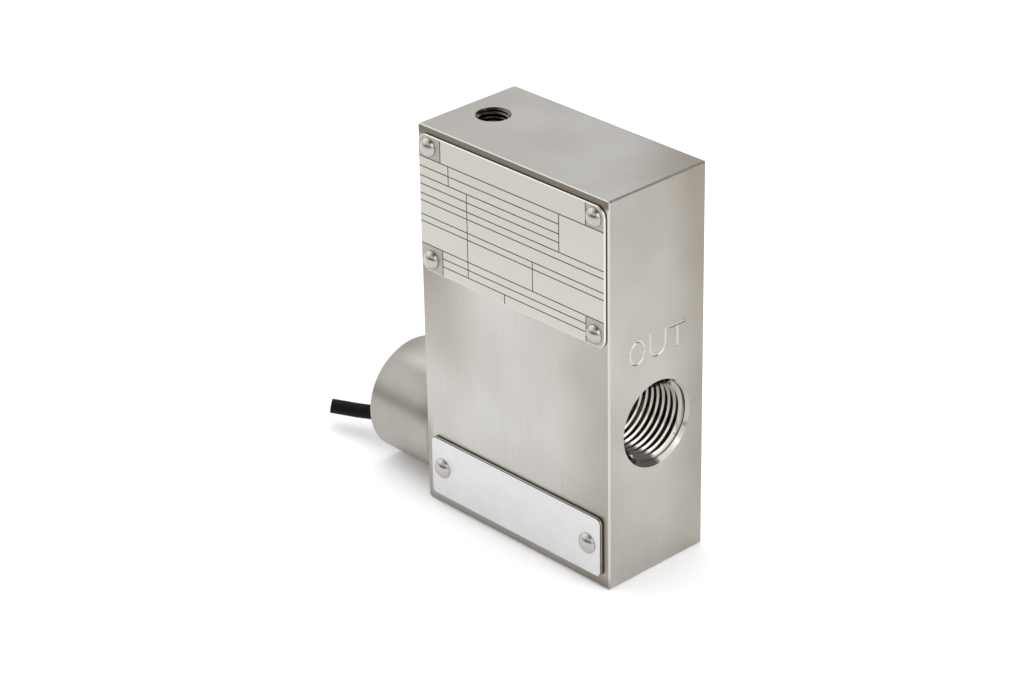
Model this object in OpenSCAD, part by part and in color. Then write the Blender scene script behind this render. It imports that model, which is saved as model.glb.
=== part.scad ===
// In-line piston flow switch in a square stainless steel block. Flow lifts a magnet piston
// off its seat, and an adjustable reed switch beside the chamber closes.
// Millimetres. The origin is on the inlet port's axis at the bottom face. +Z is up, +X points
// to the outlet port, and the rating plate is on the -Y face.

/* [Body block] */
// Width of the block, from the conduit end to the outlet end
body_w = 63.5; // [60:0.5:90]
// Depth of the block, front to back
body_d = 31.75; // [31:0.25:50]
// Height of the block
body_h = 101.6; // [98:0.2:140]
// Bevel that breaks every edge of the block
edge_break = 0.4; // [0.2:0.1:1]
// Radius along the lower edge of the conduit end
base_round = 2; // [1:0.5:4]

/* [Pipe ports] */
// Distance of the inlet axis from the conduit end face
inlet_inset = 28; // [27:0.5:32]
// Height of the outlet axis
outlet_z = 39.2; // [37:0.2:44]
// Bore across the thread crests of both pipe ports
port_tap_d = 18.3; // [18:0.1:19]
// Outer diameter of the bevel at each port's mouth
port_mouth_d = 22.2; // [20:0.2:24]
// Depth of the tapped length of each pipe port
port_thread_l = 16; // [14:0.5:18]
// Drilled bore from the outlet thread to the chamber
outlet_bore_d = 13; // [10:0.5:15]

/* [Flow chamber] */
// Bore that the piston runs in
chamber_d = 17; // [16.5:0.1:17.2]
// Length of the smooth bore between the inlet's thread and the seat's shoulder
seat_bore_l = 9; // [8:0.5:11]
// Width of that shoulder, which the seat ring is held against
seat_ledge = 0.4; // [0.3:0.05:0.45]
// Width of the shoulder that stops the piston
stop_ledge = 2; // [1.5:0.1:2.2]
// Solid height between the spring pocket and the block's top
top_wall = 15.6; // [10:0.2:20]

/* [Seat] */
// Height of the seat ring
seat_h = 4; // [3.5:0.1:4.2]
// Width of the ring between its orifice and the chamber's bore
seat_w = 3; // [2.5:0.1:4]
// Cord thickness of the seat's O-ring
o_ring_t = 1.3; // [1:0.1:1.4]
// Thickness of the snap ring under the seat
snap_ring_t = 1; // [0.8:0.1:1.2]
// Radial width of the snap ring
snap_ring_w = 1.5; // [1.2:0.1:1.6]
// Width of the gap in the snap ring
snap_ring_gap = 6; // [4:0.5:8]

/* [Piston] */
// Gap all round between the piston's body and the chamber
piston_gap = 0.3; // [0.2:0.05:0.4]
// Height of the piston above its seating face
piston_l = 24; // [22:0.5:28]
// How far the piston rises from its seat
piston_travel = 12; // [8:0.5:14]
// Length of the cone that reaches into the orifice
nose_l = 3; // [2:0.5:3.5]
// Gap all round between the cone and the orifice
nose_gap = 0.5; // [0.3:0.1:1.5]
// Depth of solid steel under the magnet
piston_floor_h = 8; // [7:0.5:9]
// Wall around the piston's cup
piston_wall = 2; // [1.8:0.1:2.2]
// Width of each glide ring
glide_ring_w = 2; // [1.5:0.1:2.5]
// Depth of the groove under each glide ring
glide_groove_depth = 0.8; // [0.6:0.1:1]
// Height of the magnet
magnet_l = 8; // [6:0.5:8.5]
// Height of the cap over the magnet, without its spring spigot
magnet_cap_h = 3; // [2:0.5:3.5]

/* [Return spring] */
// Gap all round between the coils and the spring pocket
spring_gap = 1.05; // [0.8:0.05:1.2]
// Thickness of the wire
spring_wire_d = 0.9; // [0.7:0.1:1]
// Number of turns
spring_turns = 14; // [10:1:16]

/* [Switch channel] */
// Distance of the channel's axis from the conduit end face
channel_inset = 9.3; // [8.5:0.1:10]
// Bore across the channel's thread crests
channel_d = 6.9; // [6.8:0.1:7.2]
// Outer diameter of the bevel at the channel's mouth
channel_mouth_d = 8.7; // [8:0.1:9.5]
// Height of the channel's floor
channel_floor_z = 10; // [8:0.5:11]

/* [Reed carrier] */
// Height of the carrier's lower end at mid adjustment
carrier_z = 36; // [34:0.5:40]
// Diameter of the reed switch's glass
glass_d = 2.3; // [2:0.1:2.4]
// Length of the glass
glass_l = 14; // [12:0.5:16]
// Gap all round between the glass and its slot in the carrier
glass_gap = 0.25; // [0.15:0.05:0.35]
// Room in the slot beyond each end of the glass
reed_room = 5; // [4:0.5:6]
// Wall beside the window that the swivel clip sits in
window_wall = 0.8; // [0.6:0.1:1]
// Height of that window
clip_window_h = 4; // [3:0.5:5]
// Thickness of the flange above the window
carrier_flange_t = 4.4; // [4:0.2:5]
// Thickness of the glass wall
glass_wall = 0.35; // [0.3:0.05:0.4]
// Width of the reed blades
blade_w = 1; // [0.8:0.1:1.2]
// Thickness of the reed blades
blade_t = 0.2; // [0.15:0.05:0.25]
// Diameter of the reed's wire leads
reed_lead_d = 0.5; // [0.4:0.05:0.6]
// Spacing between the leads' two straight runs
lead_pitch = 1.9; // [1.8:0.1:2]

/* [Adjusting screw] */
// Depth of the screw below the block's top at mid adjustment
screw_drop = 5.6; // [5.1:0.1:7]
// Length of the screw's threaded barrel
screw_l = 8.4; // [7:0.2:10]
// Width of the driver slot
driver_slot_w = 1.2; // [1:0.1:1.6]
// Depth of the driver slot
driver_slot_depth = 2.5; // [2:0.1:3]
// Diameter of the stud that passes through the carrier's flange
stud_d = 2.4; // [2.2:0.1:2.6]
// Thickness of the swivel clip
clip_t = 0.6; // [0.5:0.1:0.8]

/* [Conduit hub] */
// Outer diameter of the hub
hub_d = 30.2; // [28:0.2:31]
// Length of the hub outside the block
hub_l = 22.9; // [20:0.1:28]
// Height of the hub's underside
hub_lift = 0.1; // [0:0.1:2]
// Bevel at the hub's outer edge
hub_edge = 0.6; // [0.4:0.1:1]
// Depth of the tapped length in the hub's mouth
hub_thread_l = 12.5; // [12:0.5:14]
// Bore behind the hub's thread, filled with potting
hub_bore_d = 15; // [14:0.5:16]
// Diameter of the spigot that locates the hub in the block
spigot_d = 20; // [19:0.5:22]
// Length of that spigot
spigot_l = 3; // [2:0.5:4]
// Leg of the weld bevel at the hub's root
weld_leg = 1.4; // [1:0.1:2]

/* [Wires and potting] */
// Bore of the wire passage from the hub to the switch channel
passage_d = 8; // [7:0.5:9]
// Length of the passage that the potting leaves open at the channel
passage_open_l = 0.45; // [0.3:0.05:0.8]
// Diameter of the lead wires' insulation
wire_d = 1; // [0.8:0.1:1.1]
// Bend radius of the outer lead wire
wire_bend_r = 2.6; // [2.4:0.1:2.8]
// Diameter of the cable
cable_d = 3.8; // [3:0.1:4]

/* [Rating plate] */
// Bare steel at each side of the rating plate
rating_side_gap = 0.7; // [0.5:0.05:3]
// Bare steel above the rating plate
rating_top_gap = 1.7; // [0.7:0.1:4]
// Height of the rating plate
rating_plate_h = 35.8; // [33:0.2:38]
// Thickness of the rating plate
rating_plate_t = 0.6; // [0.4:0.1:1]
// Corner radius of the rating plate
rating_corner_r = 2.8; // [1:0.1:4]
// Distance of its drive screws from its side edges
rating_inset_x = 3.5; // [3:0.05:5]
// Distance of its drive screws from its upper and lower edges
rating_inset_z = 3.15; // [2.8:0.05:5]
// Diameter of their domed heads
rating_head_d = 4.8; // [4.2:0.1:5.6]

/* [Lower plate] */
// Bare steel at each side of the lower plate, were it in the block's middle
lower_side_gap = 2.35; // [1.5:0.05:5]
// Bare steel below the lower plate
lower_base_gap = 3; // [1:0.1:6]
// Height of the lower plate
lower_plate_h = 15.8; // [14:0.2:18]
// Thickness of the lower plate
lower_plate_t = 1; // [0.6:0.1:1.4]
// Distance of its middle from the block's middle, towards the outlet
lower_plate_shift = 0.3; // [0:0.1:0.6]
// Corner radius of the lower plate
lower_corner_r = 1.5; // [1:0.1:4]
// Distance of its drive screws from its side edges, were it in the block's middle
lower_inset = 4.1; // [3.5:0.1:6]
// Diameter of their domed heads
lower_head_d = 5.3; // [4.8:0.1:6]

/* [Drive screws] */
// Height of a drive screw's domed head
drive_head_h = 1.5; // [1.2:0.1:2]
// Straight rim under the dome
drive_rim_h = 0.25; // [0.2:0.05:0.4]
// Diameter of the shank
drive_shank_d = 2.5; // [2.2:0.1:3]
// Length of the shank inside the block
drive_shank_l = 6; // [5:0.5:8]

/* [Hidden] */
$fn = 96;

// Clearances
running_gap = 0.05;
seat_gap = 0.05;
fit_gap = 0.03;
stop_gap = 0.45;
o_ring_room = 0.3;
cap_spring_gap = 0.5;
carrier_gap = 0.12;
screw_lift = 0.1;
stud_gap = 0.06;
clip_gap = 0.2;
clip_side_gap = 0.3;
// How far a cut runs past the face that it opens
overrun = 1;

// Places that follow from the driving sizes
end_x = -inlet_inset;
outlet_x = body_w - inlet_inset;
middle_x = (end_x + outlet_x) / 2;
front_y = -body_d / 2;
channel_x = end_x + channel_inset;
port_tap_r = port_tap_d / 2;
port_mouth_r = port_mouth_d / 2;
port_bevel = port_mouth_r - port_tap_r;
chamber_r = chamber_d / 2;
chamber_z = port_thread_l + seat_bore_l;
seat_bore_r = chamber_r + seat_ledge;
pocket_r = chamber_r - stop_ledge;
pocket_z = body_h - top_wall;
channel_r = channel_d / 2;

// The seat ring hangs under the chamber's shoulder, on its snap ring
snap_groove_depth = 0.7;
snap_groove_r = seat_bore_r + snap_groove_depth;
snap_ring_top_z = chamber_z - seat_h - fit_gap;
snap_ring_z = snap_ring_top_z - snap_ring_t;
snap_ear_r = 1.3;
snap_ear_hole_r = 0.5;
o_groove_w = o_ring_t + 2 * o_ring_room;
o_groove_r = seat_bore_r - o_ring_t;
orifice_r = chamber_r - seat_w;
orifice_bevel = 0.8;

// The piston stands on the seat ring, and its rim meets the shoulder at the end of its rise
piston_z = chamber_z + seat_gap;
piston_r = chamber_r - piston_gap;
stop_z = piston_z + piston_l + piston_travel + stop_gap;
piston_edge = 0.5;
nose_tip_share = 0.6;
glide_land = 1;
lower_glide_z = glide_land + piston_edge;
upper_glide_z = piston_l - glide_ring_w - glide_land;
glide_gap = 0.6;
cup_r = piston_r - piston_wall;
magnet_z = piston_z + piston_floor_h;
cap_z = magnet_z + magnet_l;

// The spring stands on the magnet's cap, around its spigot
spring_r = pocket_r - spring_gap - spring_wire_d / 2;
spring_base_z = cap_z + magnet_cap_h;
cap_spigot_r = spring_r - spring_wire_d / 2 - cap_spring_gap;
cap_spigot_l = 2.5;

// Carrier, screw and clip share the channel's axis. The screw keeps its depth under the
// block's top, and the carrier reaches from it down to the reed's place
screw_z = body_h - screw_drop - screw_l;
screw_r = channel_r - running_gap;
screw_bevel = 0.5;
carrier_r = channel_r - carrier_gap;
carrier_top_z = screw_z - screw_lift;
carrier_l = carrier_top_z - carrier_z;
carrier_edge = 0.4;
window_top_z = carrier_top_z - carrier_flange_t;
window_z = window_top_z - clip_window_h;
window_w = 2 * (carrier_r - window_wall);
stud_r = stud_d / 2;
stud_groove_depth = 0.35;
stud_tail_l = 1;
clip_z = window_top_z - clip_t - clip_gap;
clip_d = window_w - 2 * clip_side_gap;
clip_mouth_share = 0.36;

// The reed switch lies in the middle of the carrier's slot
glass_r = glass_d / 2;
reed_slot_w = glass_d + 2 * glass_gap;
reed_slot_l = glass_l + 2 * reed_room;
glass_z = carrier_z + reed_slot_l / 2;
lead_shy = 0.5;
lead_end_z = carrier_z + lead_shy;
blade_overlap = 2;
blade_gap = 0.1;
lead_rise = 1.2;

// Hub and potting lie along -X, with their profiles measured from the block's end face
hub_r = hub_d / 2;
hub_z = hub_r + hub_lift;
hub_mouth_bevel = 1.4;
hub_mouth_r = port_tap_r + hub_mouth_bevel;
weld_drop = 0.35;
weld_rise = 0.2;
potting_face_x = end_x - hub_l + hub_thread_l;
potting_end_x = channel_x - channel_r - passage_open_l;

// The lead wires leave the potting below and above the hub's axis
outer_wire_drop = 0.8;
inner_wire_rise = 1;
inner_bend_r = channel_r + passage_open_l - lead_pitch - fit_gap;

// Spring coils: closed turns at both ends and evenly spaced ones between
rings_per_turn = 8;
spring_sides = 6;
closed_turns = 1;
closed_turn_gap = 0.45;
closed_pitch = spring_wire_d + closed_turn_gap;

// Cable route from the middle of the hub's mouth: off the potting's face below the axis,
// out over the mouth's lower edge and down to its cut end
cable_start = [-0.4, -4.6];
cable_bends = [
  [9.9, -0.4, -4.6], [7.4, -0.6, -4.9], [4.9, -1, -5.4], [2.4, -1.6, -6.1],
  [-0.1, -2.2, -6.8], [-2.6, -2.9, -7.4], [-5.1, -3.6, -7.8], [-7.6, -4.3, -8.1],
  [-10.1, -5, -8.4], [-12.6, -5.8, -8.7], [-15.1, -6.6, -9], [-17.6, -7.4, -9.2],
  [-20.1, -8.2, -9.4], [-21.8, -8.75, -9.55], [-23.1, -9.2, -9.65]];
cable_route = concat(
  [[potting_face_x, cable_start[0], hub_z + cable_start[1]]],
  [for (p = cable_bends) [end_x - hub_l, 0, hub_z] + p]);
cable_sides = 8;

// Plates follow the block's front face
rating_plate_w = body_w - 2 * rating_side_gap;
rating_plate_z = body_h - rating_top_gap - rating_plate_h / 2;
lower_plate_w = body_w - 2 * lower_side_gap;
lower_plate_z = lower_base_gap + lower_plate_h / 2;

function broken_outline(w, h, cut) = [
  [cut, 0], [w - cut, 0], [w, cut], [w, h - cut],
  [w - cut, h], [cut, h], [0, h - cut], [0, cut]];

function unit(v) = v / norm(v);

// The ring of points around point i of a path
function ring_at(path, i, r, sides) =
  let (ahead = path[min(i + 1, len(path) - 1)],
       behind = path[max(i - 1, 0)],
       along = unit(ahead - behind),
       across = unit(cross(along, [0, 0, 1])),
       over = cross(across, along))
  [for (k = [0:sides - 1])
    let (a = 360 * k / sides)
    path[i] + r * (cos(a) * across + sin(a) * over)];

// A round tube along a path, closed at both ends
module swept_tube(path, r, sides) {
  n = len(path);
  points = [for (i = [0:n - 1]) each ring_at(path, i, r, sides)];
  walls = [for (i = [0:n - 2], k = [0:sides - 1])
    let (a = i * sides + k, b = i * sides + (k + 1) % sides)
    each [[a, b + sides, b], [a, a + sides, b + sides]]];
  start_cap = [for (k = [1:sides - 2]) [0, k, k + 1]];
  last = (n - 1) * sides;
  end_cap = [for (k = [1:sides - 2]) [last, last + k + 1, last + k]];
  polyhedron(points, concat(walls, start_cap, end_cap), convexity = 10);
}

// Turns a profile drawn along +Z so that it runs out of the conduit end
module along_hub() {
  translate([end_x, 0, hub_z]) rotate([0, -90, 0]) children();
}

module rounded_rect(w, h, r) {
  square([w - 2 * r, h], center = true);
  square([w, h - 2 * r], center = true);
  for (sx = [-1, 1], sz = [-1, 1])
    translate([sx * (w / 2 - r), sz * (h / 2 - r)]) circle(r = r);
}

// The block with its edges broken, before any bore
module block_blank() {
  intersection() {
    rotate([90, 0, 0]) linear_extrude(body_d, center = true)
      translate([end_x, 0]) polygon(broken_outline(body_w, body_h, edge_break));
    linear_extrude(body_h)
      translate([end_x, front_y]) polygon(broken_outline(body_w, body_d, edge_break));
    translate([end_x, 0, 0]) rotate([90, 0, 90]) linear_extrude(body_w)
      translate([front_y, 0]) polygon(broken_outline(body_d, body_h, edge_break));
  }
}

// Waste outside the rounded lower edge of the conduit end
module base_edge_waste() {
  translate([end_x + base_round, 0, base_round]) rotate([90, 0, 0]) difference() {
    translate([-base_round - overrun, -base_round - overrun, -body_d / 2 - overrun])
      cube([base_round + overrun, base_round + overrun, body_d + 2 * overrun]);
    cylinder(r = base_round, h = body_d + 4 * overrun, center = true);
  }
}

// The inlet port, seat bore, chamber and spring pocket, turned as one stepped bore
module chamber_bore() {
  rotate_extrude() polygon([
    [0, -overrun], [port_mouth_r + overrun, -overrun], [port_tap_r, port_bevel],
    [port_tap_r, port_thread_l], [seat_bore_r, port_thread_l],
    [seat_bore_r, snap_ring_z - fit_gap], [snap_groove_r, snap_ring_z - fit_gap],
    [snap_groove_r, snap_ring_top_z], [seat_bore_r, snap_ring_top_z],
    [seat_bore_r, chamber_z], [chamber_r, chamber_z], [chamber_r, stop_z],
    [pocket_r, stop_z], [pocket_r, pocket_z], [0, pocket_z]]);
}

// The outlet port and its bore, which ends on the chamber's axis
module outlet_bore() {
  bore_r = outlet_bore_d / 2;
  translate([outlet_x, 0, outlet_z]) rotate([0, -90, 0]) rotate_extrude() polygon([
    [0, -overrun], [port_mouth_r + overrun, -overrun], [port_tap_r, port_bevel],
    [port_tap_r, port_thread_l], [bore_r, port_thread_l + port_tap_r - bore_r],
    [bore_r, outlet_x], [0, outlet_x]]);
}

// The switch channel, open at the top of the block
module channel_bore() {
  mouth_r = channel_mouth_d / 2;
  translate([channel_x, 0, 0]) rotate_extrude() polygon([
    [0, channel_floor_z], [channel_r, channel_floor_z],
    [channel_r, body_h - (mouth_r - channel_r)], [mouth_r + overrun, body_h + overrun],
    [0, body_h + overrun]]);
}

// Drive screw places on the front face, as X and Z
rating_screw_points = [for (sx = [-1, 1], sz = [-1, 1])
  [middle_x + sx * (rating_plate_w / 2 - rating_inset_x),
   rating_plate_z + sz * (rating_plate_h / 2 - rating_inset_z)]];
lower_screw_points = [for (sx = [-1, 1])
  [middle_x + sx * (lower_plate_w / 2 - lower_inset), lower_plate_z]];

module drive_screw_hole(extra_depth) {
  rotate([90, 0, 0]) translate([0, 0, -drive_shank_l - extra_depth])
    cylinder(d = drive_shank_d + 2 * running_gap, h = drive_shank_l + extra_depth + overrun);
}

module body_block() {
  color("#aaa69e") difference() {
    block_blank();
    base_edge_waste();
    chamber_bore();
    outlet_bore();
    channel_bore();
    along_hub() translate([0, 0, -spigot_l])
      cylinder(r = spigot_d / 2 + fit_gap, h = spigot_l + overrun);
    translate([end_x, 0, hub_z]) rotate([0, 90, 0])
      cylinder(d = passage_d, h = channel_inset);
    for (p = concat(rating_screw_points, lower_screw_points))
      translate([p[0], front_y, p[1]]) drive_screw_hole(running_gap);
  }
}

module conduit_hub() {
  color("#b0aca4") along_hub() rotate_extrude() polygon([
    [hub_bore_d / 2, -spigot_l], [spigot_d / 2, -spigot_l], [spigot_d / 2, 0],
    [hub_r - weld_leg, 0], [hub_r, weld_leg], [hub_r, hub_l - hub_edge],
    [hub_r - hub_edge, hub_l], [hub_mouth_r, hub_l],
    [port_tap_r, hub_l - (hub_mouth_r - port_tap_r)], [port_tap_r, hub_l - hub_thread_l],
    [hub_bore_d / 2, hub_l - hub_thread_l]]);
}

// Weld bead that fills the bevel at the hub's root
module hub_weld() {
  bead_l = weld_leg - weld_drop - 2 * fit_gap;
  color("#c2beb6") along_hub() rotate_extrude() polygon(concat(
    [[hub_r - weld_leg + 2 * fit_gap, 0]],
    [for (a = [0:30:180])
      [hub_r - weld_drop + weld_rise * sin(a), bead_l * (1 - cos(a)) / 2]]));
}

module potting() {
  fill_r = hub_bore_d / 2 - fit_gap;
  tail_r = passage_d / 2 - fit_gap;
  face = end_x - potting_face_x;
  shoulder = -spigot_l + fit_gap;
  tail_end = end_x - potting_end_x;
  color("#2b2b2d") along_hub() rotate_extrude() polygon([
    [0, face], [fill_r, face], [fill_r, shoulder], [tail_r, shoulder],
    [tail_r, tail_end], [0, tail_end]]);
}

module cable() {
  color("#17171a") swept_tube(cable_route, cable_d / 2, cable_sides);
}

// One lead wire: along the passage, round its bend and up the channel to the reed's lead
module lead_wire(run_x, run_z, bend_r) {
  wire_r = wire_d / 2;
  translate([potting_end_x, 0, run_z]) rotate([0, 90, 0])
    cylinder(r = wire_r, h = run_x - bend_r - potting_end_x);
  translate([run_x - bend_r, 0, run_z + bend_r]) rotate([90, 0, 0]) rotate([0, 0, -90])
    rotate_extrude(angle = 90) translate([bend_r, 0]) circle(r = wire_r);
  translate([run_x, 0, run_z + bend_r])
    cylinder(r = wire_r, h = lead_end_z - run_z - bend_r);
}

// The inner wire bends as soon as it leaves the potting
module lead_wires() {
  color("#7a3a30") lead_wire(channel_x, hub_z - outer_wire_drop, wire_bend_r);
  color("#39475e") lead_wire(channel_x - lead_pitch, hub_z + inner_wire_rise, inner_bend_r);
}

module plate(w, h, t, r, centre, holes) {
  translate([centre[0], front_y, centre[1]]) rotate([90, 0, 0]) linear_extrude(t)
    difference() {
      rounded_rect(w, h, r);
      for (p = holes) translate(p - centre) circle(d = drive_shank_d + 2 * running_gap);
    }
}

module rating_plate() {
  color("#d6d4cc") plate(rating_plate_w, rating_plate_h, rating_plate_t, rating_corner_r,
    [middle_x, rating_plate_z], rating_screw_points);
}

module lower_plate() {
  color("#dde0e2") plate(lower_plate_w, lower_plate_h, lower_plate_t, lower_corner_r,
    [middle_x + lower_plate_shift, lower_plate_z], lower_screw_points);
}

// A domed drive screw whose head sits on a plate of the given thickness
module drive_screw(plate_t, head_d) {
  dome_h = drive_head_h - drive_rim_h;
  head_r = head_d / 2;
  dome_r = (head_r * head_r + dome_h * dome_h) / (2 * dome_h);
  rotate([90, 0, 0]) {
    translate([0, 0, -drive_shank_l]) cylinder(d = drive_shank_d, h = drive_shank_l + plate_t);
    translate([0, 0, plate_t]) intersection() {
      cylinder(r = head_r, h = drive_head_h);
      translate([0, 0, drive_head_h - dome_r]) sphere(r = dome_r);
    }
  }
}

module rating_plate_screws() {
  color("#c9c8c4") for (p = rating_screw_points)
    translate([p[0], front_y, p[1]]) drive_screw(rating_plate_t, rating_head_d);
}

module lower_plate_screws() {
  color("#c9c8c4") for (p = lower_screw_points)
    translate([p[0], front_y, p[1]]) drive_screw(lower_plate_t, lower_head_d);
}

// Ring with the orifice, a bevelled seat on top and an O-ring groove around it
module seat_ring() {
  ring_r = seat_bore_r - running_gap;
  low = (seat_h - o_groove_w) / 2;
  color("#9fa4a8") translate([0, 0, chamber_z - seat_h]) rotate_extrude() polygon([
    [orifice_r, 0], [ring_r, 0], [ring_r, low], [o_groove_r, low],
    [o_groove_r, low + o_groove_w], [ring_r, low + o_groove_w], [ring_r, seat_h],
    [orifice_r + orifice_bevel, seat_h], [orifice_r, seat_h - orifice_bevel]]);
}

module seat_o_ring() {
  color("#1c1c1e") translate([0, 0, chamber_z - seat_h / 2]) rotate_extrude()
    translate([seat_bore_r - o_ring_t / 2, 0]) circle(r = o_ring_t / 2 - fit_gap, $fn = 32);
}

// Snap ring with two eared ends, sprung into its groove under the seat ring
module snap_outline() {
  outer_r = snap_groove_r - fit_gap;
  ear_x = snap_ring_gap / 2 + snap_ear_r / 2;
  ear_y = sqrt(pow(outer_r - snap_ring_w, 2) - ear_x * ear_x);
  difference() {
    union() {
      difference() {
        circle(r = outer_r);
        circle(r = outer_r - snap_ring_w);
        translate([0, outer_r]) square([snap_ring_gap, 2 * outer_r], center = true);
      }
      for (s = [-1, 1]) translate([s * ear_x, ear_y]) circle(r = snap_ear_r);
    }
    for (s = [-1, 1]) translate([s * ear_x, ear_y]) circle(r = snap_ear_hole_r);
  }
}

module seat_snap_ring() {
  color("#8c9094") translate([0, 0, snap_ring_z]) linear_extrude(snap_ring_t) snap_outline();
}

// Piston with a cone below, a cup above and a groove for each glide ring
module piston() {
  groove_r = piston_r - glide_groove_depth;
  nose_r = orifice_r - nose_gap;
  color("#a4a8ac") translate([0, 0, piston_z]) rotate_extrude() polygon([
    [0, -nose_l], [nose_r * nose_tip_share, -nose_l], [nose_r, 0], [piston_r - piston_edge, 0],
    [piston_r, piston_edge], [piston_r, lower_glide_z], [groove_r, lower_glide_z],
    [groove_r, lower_glide_z + glide_ring_w], [piston_r, lower_glide_z + glide_ring_w],
    [piston_r, upper_glide_z], [groove_r, upper_glide_z],
    [groove_r, upper_glide_z + glide_ring_w], [piston_r, upper_glide_z + glide_ring_w],
    [piston_r, piston_l], [cup_r, piston_l], [cup_r, piston_floor_h], [0, piston_floor_h]]);
}

// Split glide rings in the piston's two grooves
module glide_rings() {
  ring_h = glide_ring_w - 2 * fit_gap;
  outer_r = chamber_r - running_gap;
  color("#e6e4dc") for (z = [lower_glide_z, upper_glide_z])
    translate([0, 0, piston_z + z + fit_gap]) linear_extrude(ring_h) difference() {
      circle(r = outer_r);
      circle(r = piston_r - glide_groove_depth + fit_gap);
      translate([outer_r, 0]) square([2 * outer_r, glide_gap], center = true);
    }
}

module piston_magnet() {
  color("#5b5e63") translate([0, 0, magnet_z])
    cylinder(r = cup_r - fit_gap, h = magnet_l - fit_gap);
}

// Cap pressed into the cup over the magnet, with a spigot that centres the spring
module magnet_cap() {
  color("#b8bcc0") translate([0, 0, cap_z]) union() {
    cylinder(r = cup_r - fit_gap, h = magnet_cap_h);
    cylinder(r = cap_spigot_r, h = magnet_cap_h + cap_spigot_l);
  }
}

// Height of the coil after some turns: closed pitch in the end turns, open pitch between
function coil_z(t, rise) =
  let (open_turns = spring_turns - 2 * closed_turns,
       open_pitch = (rise - 2 * closed_turns * closed_pitch) / open_turns,
       low = min(t, closed_turns),
       high = max(t - spring_turns + closed_turns, 0))
  (low + high) * closed_pitch + (t - low - high) * open_pitch;

module return_spring() {
  rise = pocket_z - spring_base_z - spring_wire_d - 2 * fit_gap;
  base = spring_base_z + spring_wire_d / 2 + fit_gap;
  path = [for (i = [0:spring_turns * rings_per_turn])
    let (t = i / rings_per_turn)
    [spring_r * cos(360 * t), spring_r * sin(360 * t), base + coil_z(t, rise)]];
  color("#b4b8bc") swept_tube(path, spring_wire_d / 2, spring_sides);
}

// Rod with a slot for the reed switch below and a window for the swivel clip above
module reed_carrier() {
  color("#c8a860") translate([channel_x, 0, 0]) difference() {
    translate([0, 0, carrier_z]) rotate_extrude() polygon([
      [0, 0], [carrier_r - carrier_edge, 0], [carrier_r, carrier_edge],
      [carrier_r, carrier_l - carrier_edge], [carrier_r - carrier_edge, carrier_l],
      [0, carrier_l]]);
    translate([0, 0, carrier_z - overrun]) cylinder(d = reed_slot_w, h = reed_slot_l + overrun);
    translate([-carrier_r - overrun, -reed_slot_w / 2, carrier_z - overrun])
      cube([carrier_r + overrun, reed_slot_w, reed_slot_l + overrun]);
    translate([-window_w / 2, -carrier_r - overrun, window_z])
      cube([window_w, 2 * (carrier_r + overrun), clip_window_h]);
    translate([0, 0, window_top_z - overrun])
      cylinder(r = stud_r + stud_gap, h = carrier_flange_t + 2 * overrun);
  }
}

module capsule(r, l) {
  cylinder(r = r, h = l - 2 * r, center = true);
  for (s = [-1, 1]) translate([0, 0, s * (l / 2 - r)]) sphere(r = r);
}

module reed_glass() {
  color("#8fb7a0") translate([channel_x, 0, glass_z]) difference() {
    capsule(glass_r, glass_l);
    capsule(glass_r - glass_wall, glass_l - 2 * glass_wall);
    cylinder(d = reed_lead_d + 2 * fit_gap, h = glass_l + overrun, center = true);
  }
}

// A flat blade inside the glass that joins the lead outside it; s is the end, -1 or 1
module reed_blade(s) {
  inner_half = glass_l / 2 - glass_r;
  blade_l = inner_half + blade_overlap / 2;
  translate([s * (blade_gap + blade_t) / 2, 0, s * (inner_half - blade_l / 2)])
    cube([blade_t, blade_w, blade_l], center = true);
}

module reed_blades() {
  lead_r = reed_lead_d / 2;
  top_z = glass_z + glass_l / 2 + lead_rise;
  join_z = glass_l / 2 - glass_r - blade_w;
  color("#b9a27a") translate([channel_x, 0, 0]) {
    translate([0, 0, glass_z]) reed_blade(-1);
    translate([0, 0, lead_end_z]) cylinder(r = lead_r, h = glass_z - join_z - lead_end_z);
    translate([0, 0, glass_z]) reed_blade(1);
    translate([0, 0, glass_z + join_z]) cylinder(r = lead_r, h = top_z - glass_z - join_z);
    translate([-lead_pitch / 2, 0, top_z]) rotate([90, 0, 0])
      rotate_extrude(angle = 180) translate([lead_pitch / 2, 0]) circle(r = lead_r);
    translate([-lead_pitch, 0, lead_end_z]) cylinder(r = lead_r, h = top_z - lead_end_z);
  }
}

// Slotted screw in the channel's thread, with a stud that carries the reed carrier
module adjusting_screw() {
  groove_r = stud_r - stud_groove_depth;
  color("#9a9ea3") translate([channel_x, 0, screw_z]) difference() {
    rotate_extrude() polygon([
      [0, clip_z - stud_tail_l - screw_z], [stud_r, clip_z - stud_tail_l - screw_z],
      [stud_r, clip_z - fit_gap - screw_z], [groove_r, clip_z - fit_gap - screw_z],
      [groove_r, clip_z + clip_t + fit_gap - screw_z],
      [stud_r, clip_z + clip_t + fit_gap - screw_z], [stud_r, 0], [screw_r - screw_bevel, 0],
      [screw_r, screw_bevel], [screw_r, screw_l - screw_bevel],
      [screw_r - screw_bevel, screw_l], [0, screw_l]]);
    translate([0, 0, screw_l]) cube([2 * (screw_r + overrun), driver_slot_w,
      2 * driver_slot_depth], center = true);
  }
}

// Open ring in the stud's groove, under the carrier's flange
module swivel_clip() {
  inner_r = stud_r - stud_groove_depth + fit_gap;
  color("#8c9094") translate([channel_x, 0, clip_z]) linear_extrude(clip_t) difference() {
    circle(d = clip_d);
    circle(r = inner_r);
    translate([clip_d / 2, 0]) square([clip_d, clip_d * clip_mouth_share], center = true);
  }
}

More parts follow.
